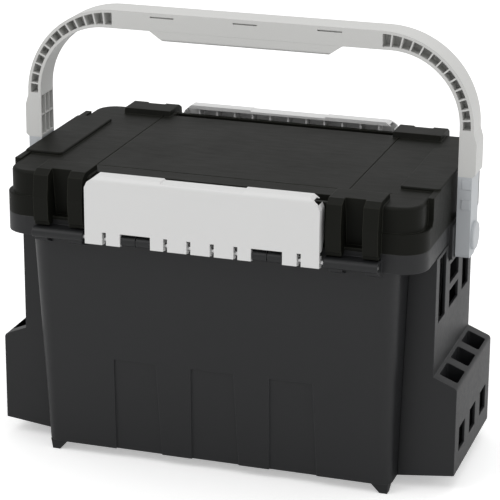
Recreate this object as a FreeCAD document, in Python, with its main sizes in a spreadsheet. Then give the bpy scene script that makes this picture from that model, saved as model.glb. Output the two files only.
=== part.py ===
import FreeCAD, Part
import os
from types import SimpleNamespace

# Fishing seat box: a deep tapered bucket under a thick seat lid that unlatches at the front or
# at the back, with a swinging carrying handle and a pocket rack on each end.
# X runs along the box, Y from the front to the back, Z up. The origin is on the ground under
# the middle of the box. All lengths are in millimetres.

SIZES = {
    # whole box
    "latch_face_y": 170.0,
    "rim_z": 293.5,
    # bucket
    "foot_height": 12.0,
    "foot_width": 22.0,
    "foot_tip": 9.0,
    "foot_inset": 2.5,
    "bottom_half_x": 205.0,
    "bottom_half_y": 119.0,
    "bottom_corner": 12.0,
    "top_half_x": 212.0,
    "top_half_y": 146.0,
    "top_corner": 24.0,
    "bucket_wall": 4.0,
    "bucket_floor": 5.0,
    "collar_height": 21.5,
    "collar_half_x": 242.0,
    "collar_half_y": 150.0,
    "collar_corner": 30.0,
    "collar_skin": 3.5,
    "recess_pitch": 92.0,
    "recess_top_width": 50.0,
    "recess_bottom_width": 56.0,
    "recess_top_z": 127.0,
    "recess_depth": 2.0,
    "rail_top_z": 280.0,
    "rail_thick": 4.0,
    "rail_inner_y": 132.0,
    "rail_half_x": 195.0,
    # hinges of both latches
    "pin_z": 281.5,
    "pin_radius": 2.5,
    "running_gap": 0.05,
    "knuckle_radius": 6.0,
    "barrel_radius": 6.5,
    "bracket_inner_x": 137.5,
    "bracket_outer_x": 197.0,
    "bracket_leg": 15.0,
    "window_inner_x": 57.5,
    "window_outer_x": 92.5,
    "side_gap": 1.0,
    # lid
    "lid_band_height": 23.0,
    "lid_height": 51.5,
    "lid_cap_half_x": 236.0,
    "lid_cap_half_y": 148.0,
    "lid_cap_corner": 25.0,
    "lid_skin": 5.0,
    "lid_edge": 4.0,
    "side_block_half_y": 107.0,
    "side_block_inner_x": 206.0,
    "strip_half_y": 80.0,
    "strip_inner_x": 197.0,
    "strip_height": 3.5,
    "hook_top_z": 351.5,
    "hook_back_y": 116.0,
    "prong_width": 17.0,
    "prong_kink_z": 322.0,
    "prong_kink_y": 165.5,
    "prong_foot_z": 289.5,
    "trough_back_y": 125.0,
    "trough_floor_z": 335.0,
    "catch_thick": 6.0,
    "groove_x": 146.0,
    "groove_width": 1.6,
    "groove_depth": 1.0,
    "deck_line_y": 100.0,
    "lid_rib": 2.5,
    "lid_rib_height": 20.0,
    # latches
    "latch_half_x": 133.6,
    "latch_skin": 3.0,
    "latch_top_z": 353.0,
    "latch_end_y": 150.0,
    "latch_round": 6.0,
    "latch_rib": 2.0,
    "latch_rib_pitch": 22.5,
    "notch_width": 4.6,
    "notch_top_z": 290.5,
    "notch_pitch": 26.7,
    "end_notch_x": 111.0,
    "short_tab_z": 280.5,
    # side racks
    "rack_face_x": 243.0,
    "rack_half_y": 88.0,
    "rack_skin": 3.0,
    "rack_gap": 0.3,
    "rack_shoulder_z": 135.0,
    "pocket_face_x": 270.0,
    "pocket_lip_z": 124.0,
    "pocket_foot_z": 20.0,
    "rack_foot_z": 12.5,
    "pocket_pitch": 54.0,
    "pocket_length": 38.0,
    "pocket_bottom_z": 30.0,
    "pocket_corner": 3.0,
    "drain_width": 30.0,
    "drain_bottom_z": 42.0,
    "drain_top_z": 71.0,
    "slot_y": 58.0,
    "slot_width": 32.0,
    "slot_bottom_z": 193.5,
    "slot_top_z": 268.0,
    "window_half_y": 22.0,
    "window_bar_z": 214.0,
    "window_bar": 8.0,
    "window_top_z": 245.0,
    # handle
    "pivot_z": 275.0,
    "pivot_radius": 5.0,
    "boss_face_x": 246.5,
    "boss_half_y": 30.0,
    "boss_bottom_z": 252.0,
    "leg_inner_x": 247.0,
    "leg_thick": 16.0,
    "leg_flare": 3.5,
    "leg_half_y": 18.0,
    "hub_top_z": 346.0,
    "hub_bottom_z": 252.0,
    "hub_skin": 3.0,
    "hub_corner": 14.0,
    "tongue_length": 30.0,
    "handle_top_z": 503.0,
    "handle_outer_round": 105.0,
    "handle_inner_round": 80.0,
    "handle_under_z": 482.0,
    "flange": 3.5,
    "cell_web": 3.0,
    "cell_rib": 1.8,
    "grip_under_z": 471.0,
    "grip_half_x": 97.0,
    "grip_ramp": 16.0,
    "grip_skin": 3.0,
    "pin_head_radius": 9.0,
    "pin_head": 2.5,
    "hub_cap_radius": 16.0,
    "hub_cap": 4.0,
    # inside the bucket
    "tray_length": 200.0,
    "tray_half_y": 128.0,
    "tray_lip_y": 138.0,
    "tray_lip": 3.0,
    "tray_depth": 48.0,
    "tray_wall": 2.0,
    "tray_corner": 18.0,
    "tray_end_gap": 2.0,
    "divider": 1.6,
}

CELLS = 13
CELL_STEP = 7.0
ROUNDED = 1e-3

doc = FreeCAD.newDocument("SeatBox")
sheet = doc.addObject("Spreadsheet::Sheet", "Sizes")
for row, (alias, number) in enumerate(SIZES.items(), start=1):
    sheet.set(f"A{row}", str(number))
    sheet.setAlias(f"A{row}", alias)
doc.recompute()


class Size:
    """A length that carries its number and the spreadsheet expression behind it."""

    def __init__(self, number, text):
        self.number = number
        self.text = text

    def joined(self, sign, other, number):
        other_text = other.text if isinstance(other, Size) else repr(float(other))
        return Size(number, f"({self.text} {sign} {other_text})")

    def __add__(self, other):
        return self.joined("+", other, self.number + number_of(other))

    def __sub__(self, other):
        return self.joined("-", other, self.number - number_of(other))

    def __mul__(self, other):
        return self.joined("*", other, self.number * number_of(other))

    def __truediv__(self, other):
        return self.joined("/", other, self.number / number_of(other))

    def __neg__(self):
        return Size(-self.number, f"(0 - {self.text})")


def number_of(size):
    return size.number if isinstance(size, Size) else float(size)


def plain(number):
    return Size(float(number), repr(float(number)))


S = SimpleNamespace(**{alias: Size(number, f"Sizes.{alias}") for alias, number in SIZES.items()})


def bind(thing, name, size):
    """Set a property from a size and tie it to the spreadsheet."""
    thing.setExpression(name, size.text)


# Sketch outlines. Each adds its lines to a sketch and ties them to the sizes.

def pin_point(sketch, shape, end, spot):
    for kind, size in zip(("DistanceX", "DistanceY"), spot):
        index = sketch.addConstraint(
            _constraint(kind, -1, 1, shape, end, size.number))
        sketch.setExpression(f"Constraints[{index}]", size.text)


def _constraint(*words):
    import Sketcher
    return Sketcher.Constraint(*words)


def vector(spot):
    return FreeCAD.Vector(spot[0].number, spot[1].number, 0)


def polygon(*spots):
    """A closed outline of straight edges through the given (x, y) sizes."""
    def draw(sketch):
        count = len(spots)
        lines = [
            sketch.addGeometry(Part.LineSegment(vector(spots[i]), vector(spots[(i + 1) % count])))
            for i in range(count)
        ]
        for i, line in enumerate(lines):
            sketch.addConstraint(_constraint("Coincident", line, 2, lines[(i + 1) % count], 1))
            pin_point(sketch, line, 1, spots[i])
    return draw


def box_outline(x_low, x_high, y_low, y_high):
    return polygon((x_low, y_low), (x_high, y_low), (x_high, y_high), (x_low, y_high))


def circle(centre, radius):
    def draw(sketch):
        ring = sketch.addGeometry(
            Part.Circle(vector(centre), FreeCAD.Vector(0, 0, 1), radius.number))
        pin_point(sketch, ring, 3, centre)
        index = sketch.addConstraint(_constraint("Radius", ring, radius.number))
        sketch.setExpression(f"Constraints[{index}]", radius.text)
    return draw


def rounded_box(x_low, x_high, y_low, y_high, corner):
    """A rectangle with four equal round corners."""
    def draw(sketch):
        x0, x1, y0, y1, r = (size.number for size in (x_low, x_high, y_low, y_high, corner))
        up = FreeCAD.Vector(0, 0, 1)
        quarter = 1.5707963267948966
        ends = [
            ((x0 + r, y0), (x1 - r, y0), (x1 - r, y0 + r), 3),
            ((x1, y0 + r), (x1, y1 - r), (x1 - r, y1 - r), 0),
            ((x1 - r, y1), (x0 + r, y1), (x0 + r, y1 - r), 1),
            ((x0, y1 - r), (x0, y0 + r), (x0 + r, y0 + r), 2),
        ]
        lines = []
        arcs = []
        for start, end, centre, turn in ends:
            lines.append(sketch.addGeometry(
                Part.LineSegment(FreeCAD.Vector(*start, 0), FreeCAD.Vector(*end, 0))))
            ring = Part.Circle(FreeCAD.Vector(*centre, 0), up, r)
            arcs.append(sketch.addGeometry(
                Part.ArcOfCircle(ring, turn * quarter, (turn + 1) * quarter)))
        for i in range(4):
            sketch.addConstraint(_constraint("Tangent", lines[i], 2, arcs[i], 1))
            sketch.addConstraint(_constraint("Tangent", arcs[i], 2, lines[(i + 1) % 4], 1))
        for i, word in enumerate(("Horizontal", "Vertical", "Horizontal", "Vertical")):
            sketch.addConstraint(_constraint(word, lines[i]))
        for arc in arcs[1:]:
            sketch.addConstraint(_constraint("Equal", arcs[0], arc))
        bound = [
            (_constraint("Radius", arcs[0], r), corner),
            (_constraint("DistanceY", -1, 1, lines[0], 1, y0), y_low),
            (_constraint("DistanceX", -1, 1, lines[1], 1, x1), x_high),
            (_constraint("DistanceY", -1, 1, lines[2], 1, y1), y_high),
            (_constraint("DistanceX", -1, 1, lines[3], 1, x0), x_low),
        ]
        for constraint, size in bound:
            index = sketch.addConstraint(constraint)
            sketch.setExpression(f"Constraints[{index}]", size.text)
    return draw


def knuckle_outline(flat_y, centre, radius):
    """A bar from a flat wall that ends in a half round about the centre."""
    def draw(sketch):
        cy, cz = centre[0].number, centre[1].number
        r = radius.number
        side = 1 if cy > flat_y.number else -1
        up = FreeCAD.Vector(0, 0, 1)
        ring = Part.Circle(FreeCAD.Vector(cy, cz, 0), up, r)
        quarter = 1.5707963267948966
        top = FreeCAD.Vector(cy, cz + r, 0)
        low = FreeCAD.Vector(cy, cz - r, 0)
        wall_top = FreeCAD.Vector(flat_y.number, cz + r, 0)
        wall_low = FreeCAD.Vector(flat_y.number, cz - r, 0)
        start = -quarter if side > 0 else quarter
        arc = sketch.addGeometry(Part.ArcOfCircle(ring, start, start + 2 * quarter))
        first, last = (low, top) if side > 0 else (top, low)
        wall_first, wall_last = (wall_low, wall_top) if side > 0 else (wall_top, wall_low)
        one = sketch.addGeometry(Part.LineSegment(wall_first, first))
        two = sketch.addGeometry(Part.LineSegment(last, wall_last))
        three = sketch.addGeometry(Part.LineSegment(wall_last, wall_first))
        for words in (("Tangent", one, 2, arc, 1), ("Tangent", arc, 2, two, 1),
                      ("Coincident", two, 2, three, 1), ("Coincident", three, 2, one, 1),
                      ("Horizontal", one), ("Horizontal", two), ("Vertical", three)):
            sketch.addConstraint(_constraint(*words))
        pin_point(sketch, arc, 3, centre)
        for constraint, size in (
                (_constraint("Radius", arc, r), radius),
                (_constraint("DistanceX", -1, 1, three, 1, flat_y.number), flat_y)):
            index = sketch.addConstraint(constraint)
            sketch.setExpression(f"Constraints[{index}]", size.text)
    return draw


# Bodies and features

def new_body(label):
    body = doc.addObject("PartDesign::Body", label + "_body")
    body.Label = label
    return body


def sketch_on(body, name, role, height, outlines):
    """A sketch on one of the body's own planes, lifted along the plane's normal."""
    sketch = body.newObject("Sketcher::SketchObject", name + "_sketch")
    plane = next(item for item in body.Origin.OriginFeatures if item.Role == role)
    sketch.AttachmentSupport = [(plane, "")]
    sketch.MapMode = "FlatFace"
    bind(sketch, "AttachmentOffset.Base.z", height)
    for draw in outlines:
        draw(sketch)
    return sketch


def extrude(body, name, role, outlines, start, end, cut=False):
    """Add or cut a prism between two heights along X, Y or Z.

    The XZ plane looks along +Y, so its normal points to -Y and the heights swap sign.
    """
    volume = body.Shape.Volume if not body.Shape.isNull() else 0.0
    base = -end if role == "XZ_Plane" else start
    sketch = sketch_on(body, name, role, base, outlines)
    feature = body.newObject("PartDesign::Pocket" if cut else "PartDesign::Pad", name)
    feature.Profile = sketch
    feature.Type = "Length"
    feature.Reversed = cut
    bind(feature, "Length", end - start)
    doc.recompute()
    change = body.Shape.Volume - volume
    if (change > -ROUNDED) if cut else (change < ROUNDED):
        raise RuntimeError(f"{body.Label}: {name} changed the volume by {change:.3f}")
    return feature


def loft(body, name, low, high, cut=False):
    """A tapered block between two sketches, each given as (height, outline)."""
    sections = [
        sketch_on(body, f"{name}_{word}", "XY_Plane", height, [outline])
        for word, (height, outline) in (("low", low), ("high", high))
    ]
    kind = "PartDesign::SubtractiveLoft" if cut else "PartDesign::AdditiveLoft"
    volume = body.Shape.Volume if not body.Shape.isNull() else 0.0
    feature = body.newObject(kind, name)
    feature.Profile = sections[0]
    feature.Sections = [sections[1]]
    feature.Ruled = True
    doc.recompute()
    change = body.Shape.Volume - volume
    if (change > -ROUNDED) if cut else (change < ROUNDED):
        raise RuntimeError(f"{body.Label}: {name} changed the volume by {change:.3f}")
    return feature


def soften(body, name, radius, wanted, kind="PartDesign::Fillet"):
    """Round the edges of the body's tip that the test picks out."""
    base = body.Tip
    edges = [f"Edge{i}" for i, edge in enumerate(base.Shape.Edges, start=1) if wanted(edge)]
    if not edges:
        raise RuntimeError(f"{body.Label}: {name} found no edge")
    feature = body.newObject(kind, name)
    feature.Base = (base, edges)
    bind(feature, "Radius" if kind.endswith("Fillet") else "Size", radius)
    doc.recompute()
    return feature


def runs_along(edge, axis):
    box = edge.BoundBox
    spans = {"X": box.XLength, "Y": box.YLength, "Z": box.ZLength}
    return all((length > 0.5) == (name == axis) for name, length in spans.items())


def at_height(edge, height):
    box = edge.BoundBox
    return abs(box.ZMin - height.number) < 0.01 and abs(box.ZMax - height.number) < 0.01


def through(edge, axis, *spots):
    """True for an edge along the axis that passes one of the spots in the other two axes."""
    if not runs_along(edge, axis):
        return False
    point = edge.Vertexes[0].Point
    pair = {"X": (point.y, point.z), "Y": (point.x, point.z), "Z": (point.x, point.y)}[axis]
    return any(abs(pair[0] - spot[0].number) < 0.05 and abs(pair[1] - spot[1].number) < 0.05
               for spot in spots)


def wedge(name, x_low, x_high, low, high, z_low, z_high):
    """A block along Z whose front and back faces slope.

    low and high are (x inset, y from, y to) at the bottom and top, with y measured towards -Y.
    """
    block = doc.addObject("Part::Wedge", name)
    bind(block, "Xmin", x_low + low[0])
    bind(block, "Xmax", x_high - low[0])
    bind(block, "X2min", x_low + high[0])
    bind(block, "X2max", x_high - high[0])
    bind(block, "Zmin", low[1])
    bind(block, "Zmax", low[2])
    bind(block, "Z2min", high[1])
    bind(block, "Z2max", high[2])
    bind(block, "Ymin", z_low)
    bind(block, "Ymax", z_high)
    block.Placement = FreeCAD.Placement(
        FreeCAD.Vector(0, 0, 0), FreeCAD.Rotation(FreeCAD.Vector(1, 0, 0), 90))
    return block


def turned_about_z(name, source, degrees):
    twin = doc.addObject("Part::Feature", name)
    doc.recompute()
    twin.Shape = source.Shape.copy()
    twin.Placement = FreeCAD.Placement(
        FreeCAD.Vector(0, 0, 0), FreeCAD.Rotation(FreeCAD.Vector(0, 0, 1), degrees)
    ).multiply(source.Placement)
    return twin


def mirrored(label, source, axis):
    twin = doc.addObject("Part::Mirroring", label + "_mirror")
    twin.Source = source
    twin.Normal = FreeCAD.Vector(*axis)
    twin.Label = label
    return twin


def joined(label, kind, base, tools):
    """Fuse tools onto a base, or cut them from it."""
    if kind == "fuse":
        result = doc.addObject("Part::MultiFuse", label + "_fuse")
        result.Shapes = [base] + tools
        result.Refine = True
    else:
        tool = tools[0]
        if len(tools) > 1:
            tool = doc.addObject("Part::MultiFuse", label + "_tools")
            tool.Shapes = tools
        result = doc.addObject("Part::Cut", label + "_cut")
        result.Base = base
        result.Tool = tool
        result.Refine = True
    result.Label = label
    return result


# Places that several pieces share

zero = plain(0)
pin_y = S.latch_face_y - S.barrel_radius
collar_bottom_z = S.rim_z - S.collar_height
floor_z = S.foot_height + S.bucket_floor
deck_z = S.rim_z + S.lid_height
band_z = S.rim_z + S.lid_band_height
bore_radius = S.pin_radius + S.running_gap
pivot_bore = S.pivot_radius + S.running_gap
leg_outer_x = S.leg_inner_x + S.leg_thick
opening_half_x = S.top_half_x - S.bucket_wall
opening_half_y = S.top_half_y - S.bucket_wall


def wall_half_y(height):
    """Half depth of the bucket's outside at a height."""
    share = (height - S.foot_height) / (collar_bottom_z - S.foot_height)
    return S.bottom_half_y + (S.top_half_y - S.bottom_half_y) * share


def wall_half_x(height):
    share = (height - S.foot_height) / (collar_bottom_z - S.foot_height)
    return S.bottom_half_x + (S.top_half_x - S.bottom_half_x) * share


def both_signs(low, high):
    """The span from low to high and its twin on the other side of zero."""
    return [(low, high), (-high, -low)]


# Bucket

def make_bucket():
    body = new_body("bucket_shell")
    loft(body, "walls",
         (S.foot_height, rounded_box(-S.bottom_half_x, S.bottom_half_x, -S.bottom_half_y,
                                     S.bottom_half_y, S.bottom_corner)),
         (collar_bottom_z, rounded_box(-S.top_half_x, S.top_half_x, -S.top_half_y,
                                       S.top_half_y, S.top_corner)))
    extrude(body, "collar", "XY_Plane",
            [rounded_box(-S.collar_half_x, S.collar_half_x, -S.collar_half_y,
                         S.collar_half_y, S.collar_corner)],
            collar_bottom_z, S.rim_z)
    skirt_x = S.collar_half_x - S.collar_skin
    hollow_y = S.collar_half_y - S.collar_corner - S.collar_skin
    hollows = [
        box_outline(low, high, -hollow_y, hollow_y)
        for low, high in both_signs(S.top_half_x + S.bucket_wall, skirt_x)
    ]
    extrude(body, "under_collar", "XY_Plane", hollows, collar_bottom_z - plain(1),
            S.rim_z - S.collar_skin, cut=True)
    inner_low = S.bottom_corner - S.bucket_wall
    inner_high = S.top_corner - S.bucket_wall
    loft(body, "inside",
         (floor_z, rounded_box(-(wall_half_x(floor_z) - S.bucket_wall),
                               wall_half_x(floor_z) - S.bucket_wall,
                               -(wall_half_y(floor_z) - S.bucket_wall),
                               wall_half_y(floor_z) - S.bucket_wall, inner_low)),
         (collar_bottom_z, rounded_box(-opening_half_x, opening_half_x, -opening_half_y,
                                       opening_half_y, inner_high)),
         cut=True)
    extrude(body, "mouth", "XY_Plane",
            [rounded_box(-opening_half_x, opening_half_x, -opening_half_y, opening_half_y,
                         inner_high)],
            collar_bottom_z, S.rim_z, cut=True)
    rails = [
        box_outline(-S.rail_half_x, S.rail_half_x, low, high)
        for low, high in both_signs(S.rail_inner_y, opening_half_y + S.bucket_wall / 2)
    ]
    extrude(body, "tray_rails", "XY_Plane", rails, S.rail_top_z - S.rail_thick, S.rail_top_z)

    wall_y = S.collar_half_y - plain(1)
    hinge_bars = [
        knuckle_outline(-wall_y, (-pin_y, S.pin_z), S.knuckle_radius),
        knuckle_outline(wall_y, (pin_y, S.pin_z), S.knuckle_radius),
    ]
    window_middle = (S.window_inner_x + S.window_outer_x) / 2
    spans = {
        "bracket": (S.bracket_inner_x, S.bracket_outer_x),
        "inner_knuckle": (S.window_inner_x + S.side_gap, window_middle - S.side_gap / 2),
        "outer_knuckle": (window_middle + S.side_gap / 2, S.window_outer_x - S.side_gap),
    }
    for name, (low, high) in spans.items():
        for word, (start, end) in zip(("right", "left"), both_signs(low, high)):
            extrude(body, f"{name}_{word}", "YZ_Plane", hinge_bars, start, end)
    leg_low = S.pin_z - S.knuckle_radius - plain(11)
    leg_lines = (
        (S.top_half_y - plain(2), S.pin_z), (pin_y - plain(1), S.pin_z),
        (pin_y - plain(3), S.pin_z - S.knuckle_radius - plain(4)),
        (S.top_half_y - plain(2), leg_low),
    )
    legs = [
        polygon(*[(-y, z) for y, z in leg_lines]),
        polygon(*leg_lines),
    ]
    leg_spans = {
        "inner_leg": (S.bracket_inner_x + plain(4), S.bracket_inner_x + plain(4) + S.bracket_leg),
        "outer_leg": (S.bracket_outer_x - S.bracket_leg, S.bracket_outer_x),
    }
    for name, (low, high) in leg_spans.items():
        for word, (start, end) in zip(("right", "left"), both_signs(low, high)):
            extrude(body, f"{name}_{word}", "YZ_Plane", legs, start, end)
    bores = [circle((-pin_y, S.pin_z), bore_radius), circle((pin_y, S.pin_z), bore_radius)]
    reach = S.bracket_outer_x + plain(3)
    extrude(body, "pin_bores", "YZ_Plane", bores, -reach, reach, cut=True)

    boss = [rounded_box(-S.boss_half_y, S.boss_half_y, S.boss_bottom_z,
                        S.rim_z - plain(1.5), plain(6))]
    for word, (start, end) in zip(("right", "left"), both_signs(skirt_x, S.boss_face_x)):
        extrude(body, f"boss_{word}", "YZ_Plane", boss, start, end)
    pivot = [circle((zero, S.pivot_z), pivot_bore)]
    for word, (start, end) in zip(
            ("right", "left"), both_signs(skirt_x - plain(2), S.boss_face_x + plain(2))):
        extrude(body, f"pivot_bore_{word}", "YZ_Plane", pivot, start, end, cut=True)

    recess_low = S.foot_height - plain(2)
    past = plain(6)
    recesses = []
    for index in (-1, 0, 1):
        middle = S.recess_pitch * index
        half = S.recess_bottom_width / 2
        front = wedge(
            f"recess_{index + 2}", middle - half, middle + half,
            (zero, wall_half_y(recess_low) - S.recess_depth, wall_half_y(recess_low) + past),
            ((S.recess_bottom_width - S.recess_top_width) / 2,
             wall_half_y(S.recess_top_z) - S.recess_depth, wall_half_y(S.recess_top_z) + past),
            recess_low, S.recess_top_z)
        recesses.append(front)
        recesses.append(turned_about_z(f"back_recess_{index + 2}", front, 180))
    feet = []
    foot_x = S.bottom_half_x - S.foot_inset
    foot_y = S.bottom_half_y - S.foot_inset
    slope = plain(1.5)
    for word, x_low, x_high, x_tip_low, x_tip_high in (
            ("right", foot_x - S.foot_width, foot_x, foot_x - S.foot_tip - slope, foot_x - slope),
            ("left", -foot_x, -(foot_x - S.foot_width), -(foot_x - slope),
             -(foot_x - S.foot_tip - slope))):
        foot = doc.addObject("Part::Wedge", f"foot_{word}")
        bind(foot, "Xmin", x_tip_low)
        bind(foot, "Xmax", x_tip_high)
        bind(foot, "X2min", x_low)
        bind(foot, "X2max", x_high)
        bind(foot, "Zmin", foot_y - S.foot_tip - slope)
        bind(foot, "Zmax", foot_y - slope)
        bind(foot, "Z2min", foot_y - S.foot_width)
        bind(foot, "Z2max", foot_y)
        foot.Ymin = 0
        bind(foot, "Ymax", S.foot_height + plain(1))
        foot.Placement = FreeCAD.Placement(
            FreeCAD.Vector(0, 0, 0), FreeCAD.Rotation(FreeCAD.Vector(1, 0, 0), 90))
        feet.append(foot)
        feet.append(turned_about_z(f"back_foot_{word}", foot, 180))
    doc.recompute()
    carved = joined("bucket_carved", "cut", body, recesses)
    return joined("bucket", "fuse", carved, feet)


# Side racks

def make_rack():
    """The right rack: a slotted panel over a block with three upright pockets."""
    body = new_body("right_side_rack")
    inner_top = wall_half_x(collar_bottom_z) + S.rack_gap
    inner_foot = wall_half_x(S.rack_foot_z) + S.rack_gap
    extrude(body, "outline", "XZ_Plane", [polygon(
        (inner_top, collar_bottom_z), (S.rack_face_x, collar_bottom_z),
        (S.rack_face_x, S.rack_shoulder_z), (S.pocket_face_x, S.pocket_lip_z),
        (S.pocket_face_x, S.pocket_foot_z), (inner_foot, S.rack_foot_z))],
        -S.rack_half_y, S.rack_half_y)
    soften(body, "lip_round", plain(5), lambda edge: through(
        edge, "Y", (S.pocket_face_x, S.pocket_lip_z)))
    pocket_inner_x = S.rack_face_x + S.rack_skin
    cavity_x = S.rack_face_x - S.rack_skin
    extrude(body, "hollow_back", "XZ_Plane", [polygon(
        (wall_half_x(collar_bottom_z) - plain(9), collar_bottom_z - S.rack_skin),
        (cavity_x, collar_bottom_z - S.rack_skin),
        (cavity_x, S.pocket_foot_z + S.rack_skin),
        (wall_half_x(S.rack_foot_z) - plain(9), S.rack_foot_z + S.rack_skin))],
        -(S.rack_half_y - S.rack_skin), S.rack_half_y - S.rack_skin, cut=True)
    pockets = []
    drains = []
    for index in (-1, 0, 1):
        middle = S.pocket_pitch * index
        half = S.pocket_length / 2
        pockets.append(rounded_box(
            pocket_inner_x, S.pocket_face_x - S.rack_skin, middle - half, middle + half,
            S.pocket_corner))
        drains.append(box_outline(middle - S.drain_width / 2, middle + S.drain_width / 2,
                                  S.drain_bottom_z, S.drain_top_z))
    extrude(body, "pockets", "XY_Plane", pockets, S.pocket_bottom_z,
            S.rack_shoulder_z + plain(2), cut=True)
    extrude(body, "drains", "YZ_Plane", drains, S.pocket_face_x - S.rack_skin - plain(2),
            S.pocket_face_x + plain(1), cut=True)
    window_cell_top = S.window_bar_z + S.window_bar
    slots = [
        box_outline(low, high, S.slot_bottom_z, S.slot_top_z)
        for low, high in both_signs(S.slot_y - S.slot_width / 2, S.slot_y + S.slot_width / 2)
    ] + [
        box_outline(-S.window_half_y, S.window_half_y, S.slot_bottom_z, S.window_bar_z),
        box_outline(-S.window_half_y, S.window_half_y, window_cell_top, S.window_top_z),
    ]
    extrude(body, "slots", "YZ_Plane", slots, cavity_x - plain(1), S.rack_face_x + plain(1),
            cut=True)
    clear = plain(1)
    extrude(body, "boss_notch", "YZ_Plane",
            [box_outline(-(S.boss_half_y + clear), S.boss_half_y + clear,
                         S.boss_bottom_z - clear, collar_bottom_z + clear)],
            S.collar_half_x - S.collar_skin - plain(4), S.rack_face_x + clear, cut=True)
    return body


# Lid

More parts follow.
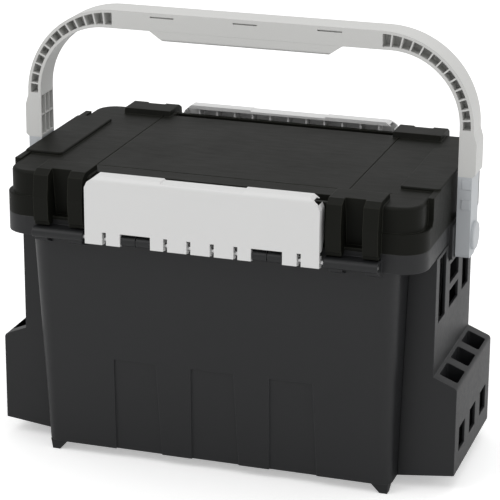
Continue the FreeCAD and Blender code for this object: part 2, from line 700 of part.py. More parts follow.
def make_lid():
    body = new_body("lid")
    extrude(body, "band", "XY_Plane",
            [rounded_box(-S.collar_half_x, S.collar_half_x, -S.collar_half_y,
                         S.collar_half_y, S.collar_corner)],
            S.rim_z, band_z)
    soften(body, "band_edges", plain(1.2), lambda edge: at_height(edge, band_z))
    extrude(body, "crown", "XY_Plane",
            [rounded_box(-S.lid_cap_half_x, S.lid_cap_half_x, -S.lid_cap_half_y,
                         S.lid_cap_half_y, S.lid_cap_corner)],
            band_z - plain(2), deck_z)
    soften(body, "crown_edge", S.lid_edge, lambda edge: at_height(edge, deck_z))
    block = [polygon(
        (-(S.side_block_half_y + plain(4)), band_z - plain(2)),
        (S.side_block_half_y + plain(4), band_z - plain(2)),
        (S.side_block_half_y + plain(4), band_z + plain(1)),
        (S.side_block_half_y, band_z + plain(6)), (S.side_block_half_y, deck_z + plain(1.5)),
        (-S.side_block_half_y, deck_z + plain(1.5)), (-S.side_block_half_y, band_z + plain(6)),
        (-(S.side_block_half_y + plain(4)), band_z + plain(1)))]
    rim_inner_x = S.lid_cap_half_x - plain(1)
    for word, (start, end) in zip(("right", "left"), both_signs(rim_inner_x, S.collar_half_x)):
        extrude(body, f"side_block_{word}", "YZ_Plane", block, start, end)
    strips = [
        rounded_box(low, high, -S.strip_half_y, S.strip_half_y, plain(5))
        for low, high in both_signs(S.strip_inner_x, S.collar_half_x)
    ]
    strip_top_z = deck_z + S.strip_height
    extrude(body, "seat_strips", "XY_Plane", strips, deck_z - plain(2), strip_top_z)
    soften(body, "strip_edges", plain(1.5), lambda edge: at_height(edge, strip_top_z))

    front_y = S.lid_cap_half_y
    hook_front_y = front_y + plain(3)
    chamfer_z = S.hook_top_z - plain(5)
    plateau = (
        (S.hook_back_y, deck_z - plain(2)), (S.hook_back_y + plain(3), S.hook_top_z),
        (hook_front_y, S.hook_top_z), (hook_front_y, S.rim_z), (front_y - plain(12), S.rim_z),
        (front_y - plain(12), deck_z - plain(2)),
    )
    prong_base_z = S.rim_z + plain(1)
    prong = (
        (hook_front_y - plain(1), S.hook_top_z), (hook_front_y + plain(2), S.hook_top_z),
        (front_y + plain(14), chamfer_z), (S.prong_kink_y, S.prong_kink_z),
        (S.prong_kink_y - plain(1.5), prong_base_z), (S.prong_kink_y - plain(4), prong_base_z),
        (S.prong_kink_y - plain(4), S.prong_foot_z), (S.collar_half_y + plain(2), S.prong_foot_z),
        (S.collar_half_y + plain(2), prong_base_z), (hook_front_y - plain(1), prong_base_z),
    )
    gap = (
        (hook_front_y + plain(9), S.hook_top_z + plain(1)), (front_y + plain(1), S.hook_top_z
                                                             + plain(1)),
        (front_y - plain(7), S.rim_z + plain(3.5)), (hook_front_y + plain(9),
                                                     S.rim_z + plain(3.5)),
    )

    def front_and_back(lines):
        return [polygon(*[(-y, z) for y, z in lines]), polygon(*lines)]

    hook_low = S.bracket_inner_x + S.side_gap
    hook_high = S.bracket_outer_x - S.side_gap
    for word, (start, end) in zip(("right", "left"), both_signs(hook_low, hook_high)):
        extrude(body, f"hook_{word}", "YZ_Plane", front_and_back(plateau), start, end)
    for word, (start, end) in zip(
            ("right", "left"), both_signs(hook_low + S.prong_width, hook_high - S.prong_width)):
        extrude(body, f"hook_gap_{word}", "YZ_Plane", front_and_back(gap), start, end, cut=True)
    prong_spans = {
        "inner_prong": (hook_low, hook_low + S.prong_width),
        "outer_prong": (hook_high - S.prong_width, hook_high),
    }
    for name, (low, high) in prong_spans.items():
        for word, (start, end) in zip(("right", "left"), both_signs(low, high)):
            extrude(body, f"{name}_{word}", "YZ_Plane", front_and_back(prong), start, end)

    catch_back_y = front_y - S.catch_thick
    catch_top_z = deck_z - plain(1.5)
    trough = (
        (S.trough_back_y, deck_z + plain(1)), (S.trough_back_y + plain(2), S.trough_floor_z),
        (catch_back_y, S.trough_floor_z), (catch_back_y, catch_top_z),
        (S.collar_half_y + plain(1), catch_top_z), (S.collar_half_y + plain(1), deck_z + plain(1)),
    )
    trough_half_x = S.latch_half_x + plain(3)
    extrude(body, "latch_troughs", "YZ_Plane", front_and_back(trough), -trough_half_x,
            trough_half_x, cut=True)

    hollow_x = S.lid_cap_half_x - S.lid_skin
    hollow_y = front_y - plain(12)
    lower_top_z = S.trough_floor_z - S.lid_skin
    extrude(body, "hollow", "XY_Plane",
            [rounded_box(-hollow_x, hollow_x, -hollow_y, hollow_y, S.lid_cap_corner
                         - S.lid_skin)],
            S.rim_z - plain(6), lower_top_z, cut=True)
    upper_y = S.hook_back_y - S.lid_skin
    upper_top_z = deck_z - S.lid_skin
    extrude(body, "upper_hollow", "XY_Plane",
            [rounded_box(-hollow_x, hollow_x, -upper_y, upper_y, plain(8))],
            lower_top_z - plain(1), upper_top_z, cut=True)
    rib_low_z = upper_top_z - S.lid_rib_height
    half_rib = S.lid_rib / 2
    long_ribs = [
        box_outline(-(hollow_x + plain(1)), hollow_x + plain(1), middle - half_rib,
                    middle + half_rib)
        for middle in (-upper_y / 2, zero, upper_y / 2)
    ]
    extrude(body, "long_ribs", "XY_Plane", long_ribs, rib_low_z, upper_top_z + plain(1))
    cross_ribs = [
        box_outline(middle - half_rib, middle + half_rib, -(hollow_y + plain(1)),
                    hollow_y + plain(1))
        for middle in (-S.groove_x, -S.groove_x / 2, zero, S.groove_x / 2, S.groove_x)
    ]
    extrude(body, "cross_ribs", "XY_Plane", cross_ribs, rib_low_z, upper_top_z + plain(1))

    half_groove = S.groove_width / 2
    grooves = [
        box_outline(middle - half_groove, middle + half_groove, -(S.deck_line_y - plain(3)),
                    S.trough_back_y - plain(1))
        for middle in (-S.groove_x, S.groove_x)
    ] + [
        box_outline(-(S.bracket_outer_x - plain(3)), S.bracket_outer_x - plain(3),
                    -(S.deck_line_y + half_groove), -(S.deck_line_y - half_groove)),
    ]
    extrude(body, "deck_grooves", "XY_Plane", grooves, deck_z - S.groove_depth,
            deck_z + plain(0.5), cut=True)
    return body


# Latches

def make_latch():
    """The front latch: a plate hinged on the pin whose top edge curls over the lid."""
    body = new_body("front_latch")
    face = -S.latch_face_y
    skin = S.latch_skin
    end = -S.latch_end_y
    bottom_z = S.pin_z - S.barrel_radius
    extrude(body, "plate", "YZ_Plane", [polygon(
        (face, bottom_z + S.barrel_radius), (face, S.latch_top_z), (end, S.latch_top_z),
        (end, S.latch_top_z - skin - plain(1.5)), (end - plain(2), S.latch_top_z - skin
                                                   - plain(1.5)),
        (end - plain(2), S.latch_top_z - skin), (face + skin, S.latch_top_z - skin),
        (face + skin, bottom_z + S.barrel_radius))],
        -S.latch_half_x, S.latch_half_x)
    soften(body, "outer_round", S.latch_round, lambda edge: through(
        edge, "X", (face, S.latch_top_z)))
    soften(body, "inner_round", S.latch_round - skin, lambda edge: through(
        edge, "X", (face + skin, S.latch_top_z - skin)))
    extrude(body, "barrel", "YZ_Plane", [circle((-pin_y, S.pin_z), S.barrel_radius)],
            -S.latch_half_x, S.latch_half_x)
    extrude(body, "barrel_face", "YZ_Plane", [box_outline(
        face, face + skin, bottom_z + plain(1), S.pin_z + plain(1))],
        -S.latch_half_x, S.latch_half_x)
    rib_lines = [polygon(
        (face + skin - plain(1), S.notch_top_z + plain(2)),
        (-(pin_y - plain(4)), S.notch_top_z + plain(2)),
        (end - plain(2.2), S.notch_top_z + plain(14)),
        (end - plain(2.2), S.latch_top_z - skin - plain(1)),
        (face + skin - plain(1), S.latch_top_z - skin + plain(1)))]
    for index in range(-5, 6):
        middle = S.latch_rib_pitch * index
        extrude(body, f"rib_{index + 6}", "YZ_Plane", rib_lines, middle - S.latch_rib / 2,
                middle + S.latch_rib / 2)
    for word, (start, finish) in zip(
            ("right", "left"), both_signs(S.latch_half_x - plain(2.5), S.latch_half_x)):
        extrude(body, f"end_wall_{word}", "YZ_Plane", rib_lines, start, finish)

    corner_x = S.latch_half_x - plain(12)
    corner_z = S.latch_top_z - plain(9)
    past = plain(3)
    corners = [
        polygon((corner_x, S.latch_top_z + past), (corner_x, S.latch_top_z),
                (S.latch_half_x - plain(3), corner_z + plain(2.5)),
                (S.latch_half_x, corner_z - plain(4)), (S.latch_half_x + past, corner_z - plain(4)),
                (S.latch_half_x + past, S.latch_top_z + past)),
        polygon((-corner_x, S.latch_top_z + past), (-(S.latch_half_x + past), S.latch_top_z
                                                    + past),
                (-(S.latch_half_x + past), corner_z - plain(4)),
                (-S.latch_half_x, corner_z - plain(4)),
                (-(S.latch_half_x - plain(3)), corner_z + plain(2.5)),
                (-corner_x, S.latch_top_z)),
    ]
    dip = polygon(
        (-plain(50), S.latch_top_z + past), (-plain(46), S.latch_top_z - plain(1.6)),
        (plain(46), S.latch_top_z - plain(1.6)), (plain(50), S.latch_top_z + past))
    extrude(body, "bevels", "XZ_Plane", corners + [dip], face - plain(1), end + plain(1),
            cut=True)

    half_notch = S.notch_width / 2
    low_z = bottom_z - plain(1)
    notches = []
    for middle in (S.notch_pitch / 2, S.notch_pitch * 1.5, S.end_notch_x):
        for low, high in both_signs(middle - half_notch, middle + half_notch):
            notches.append(box_outline(low, high, low_z, S.notch_top_z))
    for low, high in both_signs(S.window_inner_x, S.window_outer_x):
        notches.append(box_outline(low, high, low_z, S.notch_top_z))
    extrude(body, "notches", "XZ_Plane", notches, face - plain(1), -(pin_y - S.barrel_radius)
            + plain(1), cut=True)
    extrude(body, "pin_bore", "YZ_Plane", [circle((-pin_y, S.pin_z), bore_radius)],
            -(S.latch_half_x + plain(1)), S.latch_half_x + plain(1), cut=True)
    return body


# Handle

def make_handle_frame():
    """The arch: two legs, two open ribbed corners and the beam over the grip."""
    body = new_body("handle_arch")
    half_y = S.leg_half_y
    flare_x = leg_outer_x + S.leg_flare
    flare_top_z = S.handle_top_z - S.handle_outer_round - plain(2)
    outer = (
        (leg_outer_x, S.handle_top_z), (leg_outer_x, flare_top_z),
        (flare_x, flare_top_z - plain(12)), (flare_x, S.hub_top_z + plain(3)),
        (leg_outer_x, S.hub_top_z), (S.leg_inner_x, S.hub_top_z),
        (S.leg_inner_x, S.handle_under_z),
    )
    lines = list(outer) + [(-x, z) for x, z in reversed(outer)]
    extrude(body, "arch", "XZ_Plane", [polygon(*lines)], -half_y, half_y)
    soften(body, "outer_corners", S.handle_outer_round, lambda edge: through(
        edge, "Y", (leg_outer_x, S.handle_top_z), (-leg_outer_x, S.handle_top_z)))
    soften(body, "inner_corners", S.handle_inner_round, lambda edge: through(
        edge, "Y", (S.leg_inner_x, S.handle_under_z), (-S.leg_inner_x, S.handle_under_z)))

    # The beam is hollow from below between the ribbed corners, where the grip clips in.
    grip_reach = S.grip_half_x + S.grip_ramp
    extrude(body, "grip_seat", "XZ_Plane", [box_outline(
        -grip_reach, grip_reach, S.handle_under_z - plain(1),
        S.handle_top_z - S.flange)], -(half_y - S.grip_skin), half_y - S.grip_skin, cut=True)
    slits = [
        box_outline(low, high, S.handle_top_z - plain(6), S.handle_top_z - plain(4.4))
        for low, high in both_signs(plain(84), plain(112))
    ] + [box_outline(-plain(14), plain(14), S.handle_top_z - plain(6),
                     S.handle_top_z - plain(4.4))]
    extrude(body, "clip_slits", "XZ_Plane", slits, -(half_y + plain(1)), half_y + plain(1),
            cut=True)

    # Legs: three by two tall cells open towards the box, and the tongue inside the hub
    cell_low = S.hub_top_z + plain(3)
    cell_high = flare_top_z - plain(1)
    cell_middle = (cell_low + cell_high) / 2
    columns = []
    pitch = (half_y * 2 - S.cell_rib) / 3
    for index in range(3):
        left = -half_y + S.cell_rib + pitch * index
        right = -half_y + pitch * (index + 1)
        for low, high in ((cell_low, cell_middle - S.cell_rib / 2),
                          (cell_middle + S.cell_rib / 2, cell_high)):
            columns.append(box_outline(left, right, low, high))
    for word, (start, end) in zip(
            ("right", "left"),
            both_signs(S.leg_inner_x - plain(1), leg_outer_x - S.flange)):
        extrude(body, f"leg_cells_{word}", "YZ_Plane", columns, start, end, cut=True)
    inset = S.hub_skin + plain(0.3)
    tongue = [box_outline(low, high, S.hub_top_z - S.tongue_length, S.hub_top_z + plain(1))
              for low, high in both_signs(S.leg_inner_x + inset, leg_outer_x - inset)]
    extrude(body, "tongues", "XZ_Plane", tongue, -(half_y - inset), half_y - inset)

    # Ring shaped cells of the corners, as one cutter for each side of the middle web
    ring_x = leg_outer_x - S.handle_outer_round
    ring_z = S.handle_top_z - S.handle_outer_round
    cutters = []
    web_half = S.cell_web / 2
    for side in (1, -1):
        for front in (1, -1):
            sector = doc.addObject("Part::Feature", f"cells_{side}_{front}".replace("-", "m"))
            sector.Shape = ring_cells(side, front, ring_x.number, ring_z.number,
                                      web_half.number)
            cutters.append(sector)
    doc.recompute()
    return joined("handle_frame", "cut", body, cutters)


def ring_cells(side, front, ring_x, ring_z, web_half):
    """Cutter for the open cells of one corner, on one side of its web.

    The cells follow the outer arc. Each is a sector between the outer and inner flange, and the
    thin ribs between the sectors stay.
    """
    outer = S.handle_outer_round.number - S.flange.number
    inner_x = S.leg_inner_x.number - S.handle_inner_round.number
    inner_z = S.handle_under_z.number - S.handle_inner_round.number
    inner = S.handle_inner_round.number + S.flange.number
    half_y = S.leg_half_y.number
    rib = S.cell_rib.number
    depth = half_y - web_half
    y_start = web_half if front < 0 else -half_y - 1.0
    away = FreeCAD.Vector(0, 1, 0)
    centre = FreeCAD.Vector(side * ring_x, y_start, ring_z)
    disc = Part.makeCylinder(outer, depth + 1.0, centre, away)
    core = Part.makeCylinder(
        inner, depth + 1.0, FreeCAD.Vector(side * inner_x, y_start, inner_z), away)
    ring = disc.cut(core)
    spokes = []
    for index in range(CELLS + 1):
        degrees = index * CELL_STEP
        spoke = Part.makeBox(outer + 20.0, depth + 1.0, rib,
                             FreeCAD.Vector(0, y_start, -rib / 2))
        spoke.rotate(FreeCAD.Vector(0, 0, 0), away, -degrees if side > 0 else 180 + degrees)
        spoke.translate(FreeCAD.Vector(side * ring_x, 0, ring_z))
        spokes.append(spoke)
    cells = ring.cut(spokes[0].multiFuse(spokes[1:]))
    # Only the quarter of the ring that lies in the corner
    reach = outer + 30.0
    left = side * ring_x if side > 0 else side * ring_x - reach
    quarter = Part.makeBox(reach, depth + 2.0, reach, FreeCAD.Vector(left, y_start - 0.5, ring_z))
    return cells.common(quarter)


def make_grip():
    """The deeper middle of the handle, clipped up into the beam."""
    body = new_body("handle_grip")
    half_y = S.leg_half_y
    fit = plain(0.3)
    reach = S.grip_half_x + S.grip_ramp
    extrude(body, "palm", "XZ_Plane", [polygon(
        (-reach, S.handle_under_z), (-S.grip_half_x, S.grip_under_z),
        (S.grip_half_x, S.grip_under_z), (reach, S.handle_under_z))], -half_y, half_y)
    soften(body, "palm_edges", plain(3), lambda edge: runs_along(edge, "X")
           and at_height(edge, S.grip_under_z))
    inner = half_y - S.grip_skin - fit
    extrude(body, "plug", "XZ_Plane", [box_outline(
        -(reach - fit), reach - fit, S.handle_under_z - plain(1),
        S.handle_top_z - S.flange - fit)], -inner, inner)
    extrude(body, "plug_hollow", "XZ_Plane", [box_outline(
        -(reach - plain(4)), reach - plain(4), S.grip_under_z + plain(3),
        S.handle_top_z - S.flange)], -(inner - plain(2.5)), inner - plain(2.5), cut=True)
    return body


def make_hub():
    """The right hub: a sleeve over the leg's tongue that carries the pivot."""
    body = new_body("right_handle_hub")
    half_y = S.leg_half_y
    extrude(body, "sleeve", "YZ_Plane", [box_outline(
        -half_y, half_y, S.hub_bottom_z, S.hub_top_z)], S.leg_inner_x, leg_outer_x)
    soften(body, "toe", S.hub_corner, lambda edge: through(
        edge, "X", (half_y, S.hub_bottom_z)))
    soften(body, "heel", plain(5), lambda edge: through(
        edge, "X", (-half_y, S.hub_bottom_z)))
    inset = S.hub_skin
    extrude(body, "socket", "XY_Plane", [box_outline(
        S.leg_inner_x + inset, leg_outer_x - inset, -(half_y - inset), half_y - inset)],
        S.hub_top_z - S.tongue_length - plain(1), S.hub_top_z + plain(1), cut=True)
    extrude(body, "pivot_bore", "YZ_Plane", [circle((zero, S.pivot_z), pivot_bore)],
            S.leg_inner_x - plain(1), leg_outer_x + plain(1), cut=True)
    windows = [
        box_outline(S.leg_inner_x + plain(5), leg_outer_x - plain(1.5), low, low + plain(11))
        for low in (S.hub_top_z - plain(14), S.hub_top_z - plain(37))
    ]
    extrude(body, "clip_frames", "XZ_Plane", windows, -(half_y + plain(0.8)), -(half_y
                                                                             - plain(1)))
    return body


def make_pivot_pin():
    """The right pivot pin: a headed pin through the collar boss and the hub."""
    body = new_body("right_pivot_pin")
    head_x = S.collar_half_x - S.collar_skin
    extrude(body, "head", "YZ_Plane", [circle((zero, S.pivot_z), S.pin_head_radius)],
            head_x - S.pin_head, head_x)
    extrude(body, "shank", "YZ_Plane", [circle((zero, S.pivot_z), S.pivot_radius)],
            head_x - S.pin_head, leg_outer_x)
    return body


def make_hub_cap():
    """The right hub cap: a round cover over the end of the pivot pin."""
    body = new_body("right_hub_cap")
    top_x = leg_outer_x + S.hub_cap
    extrude(body, "disc", "YZ_Plane", [circle((zero, S.pivot_z), S.hub_cap_radius)],
            leg_outer_x, top_x)
    soften(body, "rim", plain(2), lambda edge: edge.BoundBox.XMin > top_x.number - 0.01)
    return body


def make_hinge_pin():
    body = new_body("front_hinge_pin")
    reach = S.bracket_outer_x
    extrude(body, "rod", "YZ_Plane", [circle((-pin_y, S.pin_z), S.pin_radius)], -reach, reach)
    soften(body, "ends", plain(0.6), lambda edge: abs(edge.BoundBox.XLength) < 0.01,
           kind="PartDesign::Chamfer")
    return body


# Tray

tray_low_x = -(opening_half_x - S.tray_end_gap)
tray_high_x = tray_low_x + S.tray_length


def make_tray():
    """A lift-out tray that hangs by its lips on the bucket's rails."""
    body = new_body("lift_out_tray")
    low_z = S.rail_top_z - S.tray_depth
    top_z = S.rail_top_z + S.tray_lip
    extrude(body, "tub", "XY_Plane", [rounded_box(
        tray_low_x, tray_high_x, -S.tray_half_y, S.tray_half_y, S.tray_corner)], low_z, top_z)
    extrude(body, "lips", "XY_Plane", [rounded_box(
        tray_low_x, tray_high_x, -S.tray_lip_y, S.tray_lip_y, S.tray_corner)],
        S.rail_top_z, top_z)
    wall = S.tray_wall
    extrude(body, "inside", "XY_Plane", [rounded_box(
        tray_low_x + wall, tray_high_x - wall, -(S.tray_half_y - wall), S.tray_half_y - wall,
        S.tray_corner - wall)], low_z + wall, top_z + plain(1), cut=True)
    return body


def make_dividers():
    """Three plates that split the tray across its depth."""
    body_list = []
    fit = plain(0.3)
    low_z = S.rail_top_z - S.tray_depth + S.tray_wall
    for index in (1, 2, 3):
        middle = tray_low_x + S.tray_length * index / 4
        plate = doc.addObject("Part::Box", f"divider_{index}")
        bind(plate, "Length", S.divider)
        bind(plate, "Width", (S.tray_half_y - S.tray_wall - fit) * 2)
        bind(plate, "Height", S.tray_depth - S.tray_wall - plain(3))
        bind(plate, "Placement.Base.x", middle - S.divider / 2)
        bind(plate, "Placement.Base.y", -(S.tray_half_y - S.tray_wall - fit))
        bind(plate, "Placement.Base.z", low_z)
        body_list.append(plate)
    group = doc.addObject("Part::Compound", "tray_dividers_group")
    group.Links = body_list
    group.Label = "tray_dividers"
    return group


def make_nodes():
    bucket = make_bucket()
    rack = make_rack()
    lid = make_lid()
    latch = make_latch()
    hinge_pin = make_hinge_pin()
    frame = make_handle_frame()
    grip = make_grip()
    hub = make_hub()
    pivot = make_pivot_pin()
    cap = make_hub_cap()
    tray = make_tray()
    dividers = make_dividers()
    across_x = (1, 0, 0)
    across_y = (0, 1, 0)
    return [
        bucket, rack, mirrored("left_side_rack", rack, across_x), lid,
        latch, mirrored("rear_latch", latch, across_y),
        hinge_pin, mirrored("rear_hinge_pin", hinge_pin, across_y),
        frame, grip,
        hub, mirrored("left_handle_hub", hub, across_x),
        pivot, mirrored("left_pivot_pin", pivot, across_x),
        cap, mirrored("left_hub_cap", cap, across_x),
        tray, dividers,
    ]


def check(nodes):
    """Stop before anything is written if an object failed."""
    for item in doc.Objects:
        if "Invalid" in item.State or "Error" in item.State:
            raise RuntimeError(f"{item.Name} failed: {item.State}")
    for node in nodes:
        if node.Shape.isNull() or not node.Shape.isValid():
            raise RuntimeError(f"{node.Label} has no valid shape")


nodes = make_nodes()
doc.recompute()
check(nodes)
os.makedirs("parts", exist_ok=True)
for node in nodes:
    node.Shape.exportStep(f"parts/{node.Label}.step")
    print(f"{node.Label}: {len(node.Shape.Solids)} solid(s), {node.Shape.Volume / 1000:.1f} cm3")
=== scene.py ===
"""Finishes, studio and camera for the fishing seat box.

Every visible shape is a node of the frame, and this script dresses those nodes.
"""

import logging
import math
from dataclasses import dataclass
from enum import Enum

import bpy
from mathutils import Matrix, Vector


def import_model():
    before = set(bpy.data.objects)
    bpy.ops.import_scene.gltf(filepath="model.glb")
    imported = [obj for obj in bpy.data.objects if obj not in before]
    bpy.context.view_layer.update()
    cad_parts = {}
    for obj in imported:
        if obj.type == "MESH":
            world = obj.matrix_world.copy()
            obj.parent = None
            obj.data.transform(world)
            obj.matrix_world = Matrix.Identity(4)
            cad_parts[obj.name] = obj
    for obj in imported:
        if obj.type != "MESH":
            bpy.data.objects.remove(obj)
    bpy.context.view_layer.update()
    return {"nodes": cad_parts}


logger = logging.getLogger("seat_box")

Triple = tuple[float, float, float]

MM = 0.001
WHITE = (1.0, 1.0, 1.0)
BEVEL_SAMPLES = 6

# Most of a noise pattern lies between these two values.
NOISE_LOW = 0.3
NOISE_HIGH = 0.7

# Cosine of the angle between the true and the rounded normal: a face gets no lightened
# edge (edge wear and painted highlight) above the first and the full lightening below the second.
PLAIN_FACE_COSINE = 0.97
FULL_EDGE_COSINE = 0.80


class Signal:
    """One value in a shader tree, with arithmetic that adds the nodes for it."""

    def __init__(self, bench: "Bench", socket: bpy.types.NodeSocket) -> None:
        """Keep the value's bench and socket.

        Args:
            bench: Bench with the tree that the value lives in.
            socket: Output socket that gives the value.
        """
        self.bench = bench
        self.socket = socket

    def _maths(self, operation: str, other: "Signal | float") -> "Signal":
        """Add one Math node that starts from this value.

        Args:
            operation: Blender's name of the operation.
            other: Second operand, a signal or a plain number.

        Returns:
            The node's result.
        """
        return self.bench.node("ShaderNodeMath", {"operation": operation},
                               {0: self, 1: other}, "Value")

    def __add__(self, other: "Signal | float") -> "Signal":
        """Return the sum."""
        return self._maths("ADD", other)

    def __mul__(self, other: "Signal | float") -> "Signal":
        """Return the product."""
        return self._maths("MULTIPLY", other)

    __radd__ = __add__
    __rmul__ = __mul__

    def span(self, low: float, high: float, to_low: float, to_high: float) -> "Signal":
        """Rescale the value from one range to another and clamp it.

        Args:
            low: Value that gives to_low.
            high: Value that gives to_high.
            to_low: Result at low.
            to_high: Result at high.

        Returns:
            The rescaled value.
        """
        return self.bench.node("ShaderNodeMapRange", {}, {
            "Value": self,
            "From Min": low,
            "From Max": high,
            "To Min": to_low,
            "To Max": to_high,
        }, "Result")


class Bench:
    """A shader tree under construction."""

    def __init__(self, tree: bpy.types.NodeTree) -> None:
        """Keep the tree.

        Args:
            tree: Node tree of a material or a world.
        """
        self.tree = tree

    def node(self, kind: str, settings: dict[str, object],
             sockets: dict[int | str, object], output: str) -> Signal:
        """Add one node.

        Args:
            kind: Blender's name of the node's type.
            settings: The node's own properties, which are set first.
            sockets: A signal or a plain value for each input, by its name or number.
            output: Name of the output that is wanted.

        Returns:
            The wanted output.
        """
        node = self.tree.nodes.new(kind)
        for name, value in settings.items():
            setattr(node, name, value)
        for key, value in sockets.items():
            self.feed(node.inputs[key], value)
        return Signal(self, node.outputs[output])

    def feed(self, socket: bpy.types.NodeSocket, value: "Signal | float | Triple") -> None:
        """Link a signal to an input socket, or set a plain value on it.

        Args:
            socket: The input socket.
            value: A signal, number, vector, or colour without its opacity.
        """
        if isinstance(value, Signal):
            self.tree.links.new(value.socket, socket)
        elif socket.type == "RGBA":
            socket.default_value = (*value, 1.0)
        else:
            socket.default_value = value


@dataclass(frozen=True)
class Pattern:
    """A noise pattern: cells per metre, finer octaves, and a factor on each axis."""

    scale: float
    detail: float = 3.0
    stretch: Triple | None = None


class MaterialBench(Bench):
    """A material under construction, with one Principled shader."""

    def __init__(self, name: str) -> None:
        """Start a material.

        Args:
            name: Name of the material.
        """
        self.material = bpy.data.materials.new(name)
        self.material.use_nodes = True
        super().__init__(self.material.node_tree)
        self.shader = self.tree.nodes["Principled BSDF"]
        self.place = self.node("ShaderNodeTexCoord", {}, {}, "Object")

    def shade(self, sockets: dict[str, object]) -> None:
        """Feed the shader.

        Args:
            sockets: A signal or a plain value for each input, by its name.
        """
        for name, value in sockets.items():
            self.feed(self.shader.inputs[name], value)

    def noise(self, pattern: Pattern) -> Signal:
        """Add a noise pattern on the piece's own coordinates.

        Args:
            pattern: Scale, detail and stretch of the noise.

        Returns:
            The noise value, from 0 to 1.
        """
        place = self.place
        if pattern.stretch is not None:
            place = self.node("ShaderNodeMapping", {},
                              {"Vector": place, "Scale": pattern.stretch}, "Vector")
        return self.node("ShaderNodeTexNoise", {}, {
            "Vector": place,
            "Scale": pattern.scale,
            "Detail": pattern.detail,
        }, "Fac")

    def soft_normal(self, radius: float) -> Signal:
        """Return a normal that rounds every edge by the radius, in metres."""
        return self.node("ShaderNodeBevel", {"samples": BEVEL_SAMPLES},
                         {"Radius": radius}, "Normal")

    def edge_mask(self, rounded: Signal) -> Signal:
        """Give a mask that is 1 on sharp edges and 0 on flat faces.

        Args:
            rounded: The rounded normal.

        Returns:
            The mask.
        """
        flat = self.node("ShaderNodeNewGeometry", {}, {}, "True Normal")
        cosine = self.node("ShaderNodeVectorMath", {"operation": "DOT_PRODUCT"},
                           {0: rounded, 1: flat}, "Value")
        return cosine.span(PLAIN_FACE_COSINE, FULL_EDGE_COSINE, 0.0, 1.0)

    def bump(self, height: Signal, depth: float, normal: Signal) -> Signal:
        """Press a pattern into a normal.

        Args:
            height: Pattern from 0 to 1.
            depth: Depth of the pattern, in metres.
            normal: Normal that the bump starts from.

        Returns:
            The bumped normal.
        """
        return self.node("ShaderNodeBump", {}, {
            "Strength": 1.0,
            "Distance": depth,
            "Height": height,
            "Normal": normal,
        }, "Normal")

    def mix(self, share: Signal, first: "Signal | Triple", second: "Signal | Triple") -> Signal:
        """Mix two colours.

        Args:
            share: 0 for the first colour, 1 for the second.
            first: A colour's signal, or its linear red, green and blue.
            second: A colour's signal, or its linear red, green and blue.

        Returns:
            The mixed colour.
        """
        return self.node("ShaderNodeMix", {"data_type": "RGBA"},
                         {"Factor": share, "A": first, "B": second}, "Result")


def tinted(colour: Triple, factor: float) -> Triple:
    """Return the colour made lighter or darker by a factor."""
    return tuple(min(1.0, channel * factor) for channel in colour)


@dataclass(frozen=True)
class MouldedPlastic:
    """Injection moulded plastic with a fine spark-eroded grain, softened edges, and edges
    lightened as wear and painted highlight.
    """

    name: str
    colour: Triple
    roughness: float = 0.42
    smoother: float = 0.05
    rougher: float = 0.06
    specular: float = 0.5
    mottle: float = 0.06
    edge_radius: float = 0.7 * MM
    edge_gain: float = 1.5
    least_wear_and_highlight: float = 0.35
    grain: Pattern = Pattern(2600.0, 2.0)
    grain_depth: float = 0.02 * MM
    flow: Pattern = Pattern(9.0, 4.0, (1.0, 1.0, 0.35))
    scuffs: Pattern = Pattern(160.0, 5.0, (0.25, 1.0, 1.0))
    flow_in_tone: float = 0.7
    flow_in_shine: float = 0.5

    def make(self) -> bpy.types.Material:
        """Build the material.

        Returns:
            The finished material.
        """
        bench = MaterialBench(self.name)
        rounded = bench.soft_normal(self.edge_radius)
        flow = bench.noise(self.flow)
        scuffs = bench.noise(self.scuffs)
        tone = self.flow_in_tone * flow + (1.0 - self.flow_in_tone) * scuffs
        shine = self.flow_in_shine * flow + (1.0 - self.flow_in_shine) * scuffs
        body = bench.mix(tone, tinted(self.colour, 1.0 - self.mottle),
                         tinted(self.colour, 1.0 + self.mottle))
        patchy = flow.span(NOISE_LOW, NOISE_HIGH, self.least_wear_and_highlight, 1.0)
        # The lighter edges are partly wear and partly a painted highlight along every rounded
        # edge.
        wear_and_highlight = bench.edge_mask(rounded) * patchy
        bench.shade({
            "Base Color": bench.mix(wear_and_highlight, body, tinted(self.colour, self.edge_gain)),
            "Roughness": shine.span(NOISE_LOW, NOISE_HIGH, self.roughness - self.smoother,
                                    self.roughness + self.rougher),
            "Specular IOR Level": self.specular,
            "Normal": bench.bump(bench.noise(self.grain), self.grain_depth, rounded),
        })
        return bench.material


@dataclass(frozen=True)
class DrawnSteel:
    """Bright drawn steel rod with fine lines along its length."""

    name: str
    colour: Triple
    roughness: float = 0.28
    smoother: float = 0.06
    rougher: float = 0.1
    darkest: float = 0.9
    lightest: float = 1.08
    edge_radius: float = 0.3 * MM
    lines: Pattern = Pattern(900.0, 2.0, (0.02, 1.0, 1.0))
    line_depth: float = 0.01 * MM
    cloud: Pattern = Pattern(40.0)

    def make(self) -> bpy.types.Material:
        """Build the material.

        Returns:
            The finished material.
        """
        bench = MaterialBench(self.name)
        rounded = bench.soft_normal(self.edge_radius)
        lines = bench.noise(self.lines)
        bench.shade({
            "Base Color": bench.mix(bench.noise(self.cloud), tinted(self.colour, self.darkest),
                                    tinted(self.colour, self.lightest)),
            "Metallic": 1.0,
            "Roughness": lines.span(NOISE_LOW, NOISE_HIGH, self.roughness - self.smoother,
                                    self.roughness + self.rougher),
            "Normal": bench.bump(lines, self.line_depth, rounded),
        })
        return bench.material


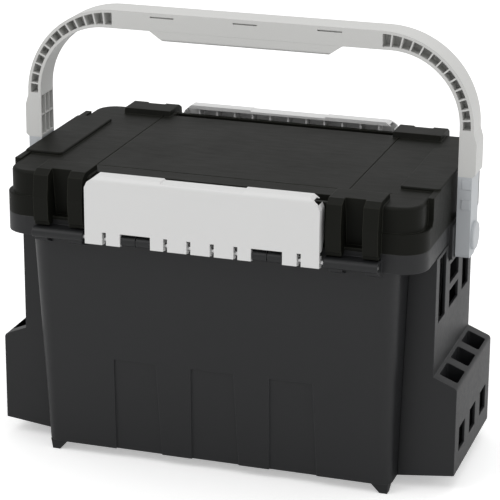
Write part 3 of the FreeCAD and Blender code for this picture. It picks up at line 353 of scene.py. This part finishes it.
class Finish(Enum):
    """The finishes of the box."""

    # edge_gain lightens the edges, partly as wear and partly as a painted highlight.
    CHARCOAL = MouldedPlastic("charcoal_plastic", (0.013, 0.0135, 0.0145), roughness=0.45,
                              edge_radius=1.5 * MM, edge_gain=4.0, specular=0.35)
    SEAT = MouldedPlastic("seat_plastic", (0.0075, 0.0078, 0.0060), roughness=0.5,
                          edge_radius=1.5 * MM, edge_gain=5.0, specular=0.1)
    LIGHT_GREY = MouldedPlastic("light_grey_plastic", (0.70, 0.70, 0.695), roughness=0.38,
                                edge_gain=1.1, mottle=0.02)
    HANDLE_GREY = MouldedPlastic("handle_grey_plastic", (0.62, 0.62, 0.605), roughness=0.4,
                                 edge_gain=1.12, mottle=0.02)
    COOL_GREY = MouldedPlastic("cool_grey_plastic", (0.50, 0.52, 0.54), roughness=0.4,
                               edge_gain=1.15, mottle=0.03)
    TRAY = MouldedPlastic("tray_plastic", (0.05, 0.05, 0.052), roughness=0.35)
    STEEL = DrawnSteel("drawn_steel", (0.62, 0.62, 0.62))


class Paintbox:
    """Makes each finish once and puts it on the nodes of the frame."""

    def __init__(self, nodes: dict[str, bpy.types.Object]) -> None:
        """Start with no finish made.

        Args:
            nodes: CAD objects by name.
        """
        self.nodes = nodes
        self.made: dict[Finish, bpy.types.Material] = {}

    def material(self, finish: Finish) -> bpy.types.Material:
        """Give the material of a finish, which is made at its first use.

        Args:
            finish: The finish.

        Returns:
            Its material.
        """
        if finish not in self.made:
            self.made[finish] = finish.value.make()
        return self.made[finish]

    def dress(self, finish: Finish, *names: str) -> None:
        """Give CAD nodes a finish.

        Args:
            finish: The finish.
            names: Names of the nodes.
        """
        for name in names:
            node = self.nodes[name]
            for slot in node.material_slots:
                slot.material = self.material(finish)
            if not node.material_slots:
                node.data.materials.append(self.material(finish))
            logger.info("%s is dressed in %s", name, finish.value.name)


@dataclass
class Body:
    """The bucket with its racks, hinge rods and pivot pins."""

    paint: Paintbox
    racks: tuple[str, ...] = ("right_side_rack", "left_side_rack")
    rods: tuple[str, ...] = ("front_hinge_pin", "rear_hinge_pin",
                             "right_pivot_pin", "left_pivot_pin")

    def build(self) -> None:
        """Dress the bucket and what is fixed to it."""
        self.paint.dress(Finish.CHARCOAL, "bucket", *self.racks)
        self.paint.dress(Finish.STEEL, *self.rods)


@dataclass
class Seat:
    """The lid that is sat on."""

    paint: Paintbox

    def build(self) -> None:
        """Dress the lid."""
        self.paint.dress(Finish.SEAT, "lid")


@dataclass
class Latches:
    """The wide latch plates on both long sides."""

    paint: Paintbox

    def build(self) -> None:
        """Dress both latches."""
        self.paint.dress(Finish.LIGHT_GREY, "front_latch", "rear_latch")


@dataclass
class Handle:
    """The swinging handle with its grip, hubs and caps."""

    paint: Paintbox

    def build(self) -> None:
        """Dress the handle's pieces."""
        self.paint.dress(Finish.HANDLE_GREY, "handle_frame", "handle_grip")
        self.paint.dress(Finish.COOL_GREY, "right_handle_hub", "left_handle_hub",
                         "right_hub_cap", "left_hub_cap")


@dataclass
class Tray:
    """The lift-out tray with its dividers."""

    paint: Paintbox

    def build(self) -> None:
        """Dress the tray."""
        self.paint.dress(Finish.TRAY, "lift_out_tray", "tray_dividers")


@dataclass(frozen=True)
class Lamp:
    """One square area lamp, with its side in metres and its power in watts."""

    name: str
    place: Triple
    side: float
    power: float

    def hang(self, aim: Triple) -> None:
        """Add the lamp to the scene.

        Args:
            aim: Place that it points at.
        """
        light = bpy.data.lights.new(self.name, "AREA")
        light.size = self.side
        light.energy = self.power
        lamp = bpy.data.objects.new(self.name, light)
        lamp.location = self.place
        beam = Vector(aim) - Vector(self.place)
        lamp.rotation_euler = beam.to_track_quat("-Z", "Y").to_euler()
        bpy.context.scene.collection.objects.link(lamp)


@dataclass
class Studio:
    """Floor, lamps, world and the camera at the photograph's angle."""

    image_width: float = 500.0
    focal_pixels: float = 2229.97
    sensor: float = 36.0
    camera_place: Triple = (0.748576, -2.321998, 1.050051)
    turn: float = math.radians(17.824)
    tilt: float = math.radians(18.609)
    roll: float = math.radians(0.3285)
    sky: float = 0.72
    floor_half: float = 6.0
    floor_cloud: Pattern = Pattern(3.0)
    floor_dark: Triple = (0.93, 0.93, 0.93)
    floor_light: Triple = (0.95, 0.95, 0.95)
    floor_roughness: float = 0.9
    floor_glow: float = 0.4
    lamp_aim: Triple = (0.0, 0.0, 0.2)
    lamps: tuple[Lamp, ...] = (
        Lamp("key_lamp", (-1.6, -2.2, 3.0), 1.6, 26.0),
        Lamp("top_lamp", (0.4, 0.6, 3.2), 2.2, 16.0),
        Lamp("side_lamp", (3.0, -0.6, 1.6), 1.4, 9.0),
    )

    def build(self) -> None:
        """Make the whole studio."""
        self._world()
        self._floor()
        for lamp in self.lamps:
            lamp.hang(self.lamp_aim)
        self._camera()
        bpy.context.scene.view_settings.view_transform = "Standard"

    def _world(self) -> None:
        """Make a world that the camera and glass see white, and that lights more softly."""
        world = bpy.data.worlds.new("studio_world")
        world.use_nodes = True
        bench = Bench(world.node_tree)
        background = bench.tree.nodes["Background"]
        seen = (bench.node("ShaderNodeLightPath", {}, {}, "Is Camera Ray")
                + bench.node("ShaderNodeLightPath", {}, {}, "Is Transmission Ray"))
        bench.feed(background.inputs["Color"], WHITE)
        bench.feed(background.inputs["Strength"], seen.span(0.0, 1.0, self.sky, 1.0))
        bpy.context.scene.world = world

    def _floor(self) -> None:
        """Lay a plain pale floor that keeps the box's shadow."""
        half = self.floor_half
        corners = [(-half, -half, 0.0), (half, -half, 0.0), (half, half, 0.0), (-half, half, 0.0)]
        mesh = bpy.data.meshes.new("floor")
        mesh.from_pydata(corners, [], [(0, 1, 2, 3)])
        floor = bpy.data.objects.new("floor", mesh)
        bpy.context.scene.collection.objects.link(floor)
        mesh.materials.append(self._floor_paper())

    def _floor_paper(self) -> bpy.types.Material:
        """Make the floor's material, which glows a little to the camera alone.

        Returns:
            The finished material.
        """
        bench = MaterialBench("floor_paper")
        bench.shade({
            "Base Color": bench.mix(bench.noise(self.floor_cloud), self.floor_dark,
                                    self.floor_light),
            "Roughness": self.floor_roughness,
            "Emission Color": bench.node("ShaderNodeLightPath", {}, {}, "Is Camera Ray"),
            "Emission Strength": self.floor_glow,
        })
        return bench.material

    def _camera(self) -> None:
        """Set the camera where the photograph was taken from."""
        data = bpy.data.cameras.new("photo_camera")
        data.sensor_width = self.sensor
        data.lens = self.focal_pixels * self.sensor / self.image_width
        camera = bpy.data.objects.new("photo_camera", data)
        back = Vector((math.sin(self.turn) * math.cos(self.tilt),
                       -math.cos(self.turn) * math.cos(self.tilt),
                       math.sin(self.tilt)))
        right = Vector((math.cos(self.turn), math.sin(self.turn), 0.0))
        level = Matrix((right, back.cross(right), back))
        rolled = Matrix.Rotation(-self.roll, 3, "Z") @ level
        camera.matrix_world = (Matrix.Translation(self.camera_place)
                               @ rolled.transposed().to_4x4())
        bpy.context.scene.collection.objects.link(camera)
        bpy.context.scene.camera = camera


def main() -> None:
    """Load the frame, dress every sub-assembly and set the studio."""
    logging.basicConfig(level=logging.INFO, format="%(name)s: %(message)s")
    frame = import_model()
    paint = Paintbox(frame["nodes"])
    for part in (Body(paint), Seat(paint), Latches(paint), Handle(paint), Tray(paint)):
        part.build()
    Studio().build()


if __name__ == "__main__":
    main()
